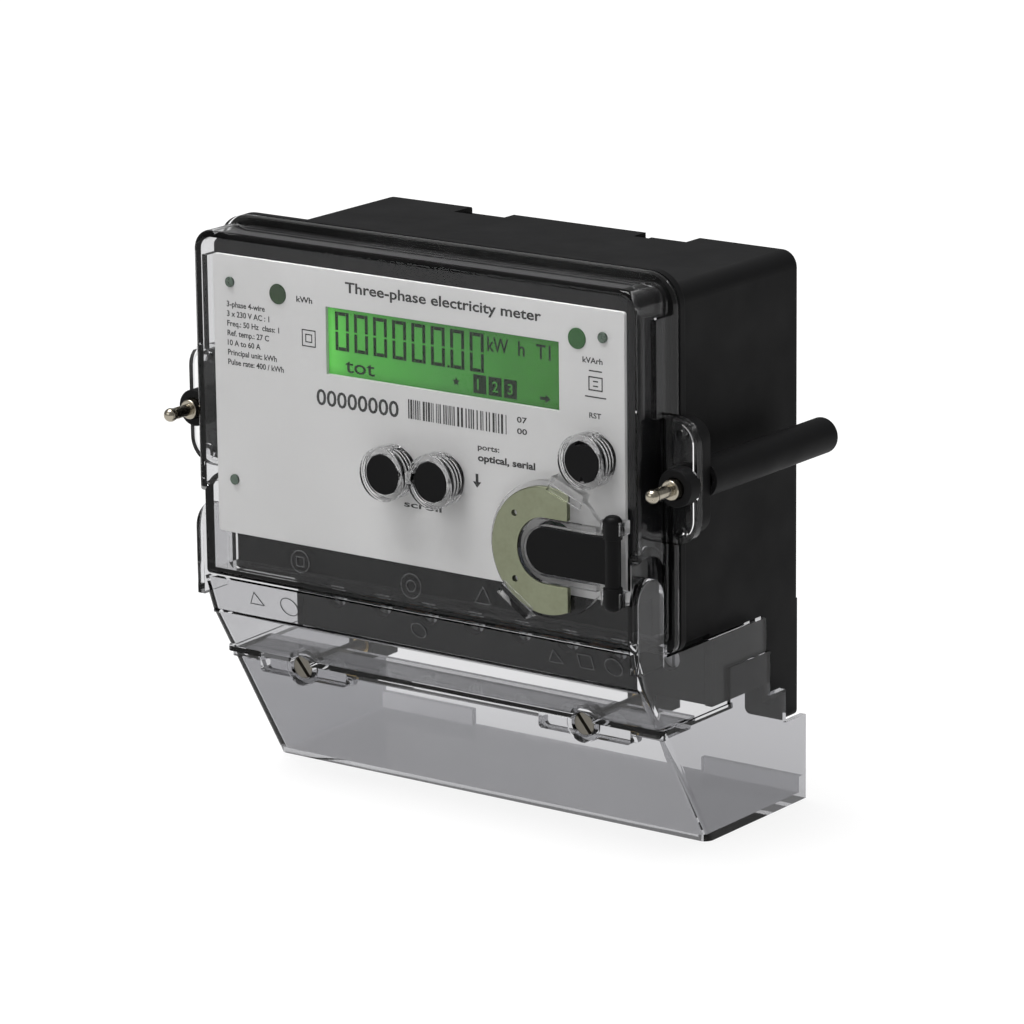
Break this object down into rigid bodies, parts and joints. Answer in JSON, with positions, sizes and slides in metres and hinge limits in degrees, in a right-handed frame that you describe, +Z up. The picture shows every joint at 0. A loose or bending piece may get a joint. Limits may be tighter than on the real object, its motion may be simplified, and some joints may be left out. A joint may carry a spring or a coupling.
{
  "type": "smart electric meter",
  "caption": "Wall-hung electric meter: black case, clear sealed front with display, push buttons and optical port, terminal block below under a clear cable hood.",
  "frame": {"origin": "on the flat rear mounting face, on the centre line, level with the middle of the case's height", "axes": "+X to the reader's right, +Y into the wall, +Z up"},
  "size_m": [0.188, 0.0949, 0.1743],
  "materials": {
    "case_black": "fine moulded texture",
    "clear_cover": "clear smoke-tinted polycarbonate, polished",
    "clear_hood": "clear smoke-tinted polycarbonate, polished",
    "plate_white": "satin printed sheet",
    "frame_black": "satin moulding",
    "button_black": "satin moulding",
    "rubber_black": "matt rubber",
    "port_steel": "olive passivated zinc plate",
    "nickel": "nickel-plated brass, turned",
    "zinc_steel": "bright zinc plate",
    "brass": "turned brass",
    "copper_bar": "bare copper bar",
    "lens_dark": "dark green window",
    "lens_green": "green window",
    "ir_filter": "infrared filter, polished",
    "ir_clear": "water-clear epoxy",
    "lcd_cell": "green display cell",
    "lcd_light": "green-lit light guide",
    "pcb_green": "solder mask",
    "chip_black": "moulded epoxy",
    "metal_can": "drawn can",
    "bobbin_tape": "winding tape",
    "varistor_blue": "epoxy dip",
    "core_steel": "stacked laminations",
    "spring_steel": "drawn wire"
  },
  "bodies": {
    "meter": {"base_case": "case_black", "seal_tubes": "case_black", "seal_inserts": "brass", "cover_gasket": "rubber_black", "main_cover": "clear_cover", "seal_collars": "case_black", "cover_inserts": "brass", "faceplate": "plate_white", "plate_screws": "zinc_steel", "inner_frame": "frame_black", "pulse_window_active": "lens_dark", "pulse_window_reactive": "lens_green", "lcd_glass": "lcd_cell", "lcd_backlight": "lcd_light", "lcd_holder": "frame_black", "lcd_connector": "rubber_black", "scroll_spring_left": "spring_steel", "scroll_spring_right": "spring_steel", "reset_spring": "spring_steel", "tact_switches": "chip_black", "optical_ring": "port_steel", "ir_window": "ir_filter", "ir_emitter": "ir_clear", "ir_detector": "ir_filter", "ir_diode_holder": "frame_black", "main_board": "pcb_green", "main_board_chips": "chip_black", "backup_battery": "metal_can", "battery_clip": "frame_black", "super_capacitor": "metal_can", "board_header": "chip_black", "power_board": "pcb_green", "board_screws": "zinc_steel", "power_transformer": "core_steel", "transformer_bobbin": "bobbin_tape", "supply_capacitors": "metal_can", "surge_varistors": "varistor_blue", "terminal_block": "frame_black", "cover_screw_posts": "frame_black", "main_terminals": "brass", "terminal_screws": "zinc_steel", "signal_terminals": "brass", "signal_screws": "zinc_steel", "phase_busbars": "copper_bar", "neutral_busbar": "copper_bar", "current_transformers": "chip_black"},
    "terminal_cover": {"terminal_cover": "clear_hood", "cable_hood": "clear_hood"},
    "cover_screw_left": {"cover_screw_left": "nickel"},
    "cover_screw_right": {"cover_screw_right": "nickel"},
    "sealing_screw_left": {"sealing_screw_left": "nickel"},
    "sealing_screw_right": {"sealing_screw_right": "nickel"},
    "scroll_button_left": {"scroll_button_left": "button_black"},
    "scroll_button_right": {"scroll_button_right": "button_black"},
    "reset_button": {"reset_button": "button_black"},
    "port_flap": {"port_flap": "button_black"},
    "wall_hanger": {"wall_hanger": "zinc_steel"}
  },
  "joints": [
    {"name": "terminal_cover_pull", "type": "slide", "parent": "meter", "child": "terminal_cover", "axis": [0, -1, 0], "range_m": [0, 0.1]},
    {"name": "cover_screw_left_turn", "type": "hinge", "parent": "terminal_cover", "child": "cover_screw_left", "pos_m": [-0.0524, -0.0756, -0.066], "axis": [0, -1, 0], "continuous": true},
    {"name": "cover_screw_right_turn", "type": "hinge", "parent": "terminal_cover", "child": "cover_screw_right", "pos_m": [0.0524, -0.0756, -0.066], "axis": [0, -1, 0], "continuous": true},
    {"name": "sealing_screw_left_turn", "type": "hinge", "parent": "meter", "child": "sealing_screw_left", "pos_m": [-0.0884, -0.0758, 0.011], "axis": [0, -1, 0], "continuous": true},
    {"name": "sealing_screw_right_turn", "type": "hinge", "parent": "meter", "child": "sealing_screw_right", "pos_m": [0.0884, -0.0758, 0.011], "axis": [0, -1, 0], "continuous": true},
    {"name": "scroll_left_press", "type": "slide", "parent": "meter", "child": "scroll_button_left", "axis": [0, 1, 0], "range_m": [0, 0.0015], "stiffness_N_per_m": 400, "springref_m": -0.0015, "deforming": ["scroll_spring_left"]},
    {"name": "scroll_right_press", "type": "slide", "parent": "meter", "child": "scroll_button_right", "axis": [0, 1, 0], "range_m": [0, 0.0015], "stiffness_N_per_m": 400, "springref_m": -0.0015, "deforming": ["scroll_spring_right"]},
    {"name": "reset_press", "type": "slide", "parent": "meter", "child": "reset_button", "axis": [0, 1, 0], "range_m": [0, 0.0015], "stiffness_N_per_m": 400, "springref_m": -0.0015, "deforming": ["reset_spring"]},
    {"name": "port_flap_hinge", "type": "hinge", "parent": "meter", "child": "port_flap", "pos_m": [0.0748, -0.0921, -0.0105], "axis": [0, 0, 1], "range_deg": [0, 120]},
    {"name": "hanger_slide", "type": "slide", "parent": "meter", "child": "wall_hanger", "axis": [0, 0, 1], "range_m": [0, 0.024]}
  ]
}
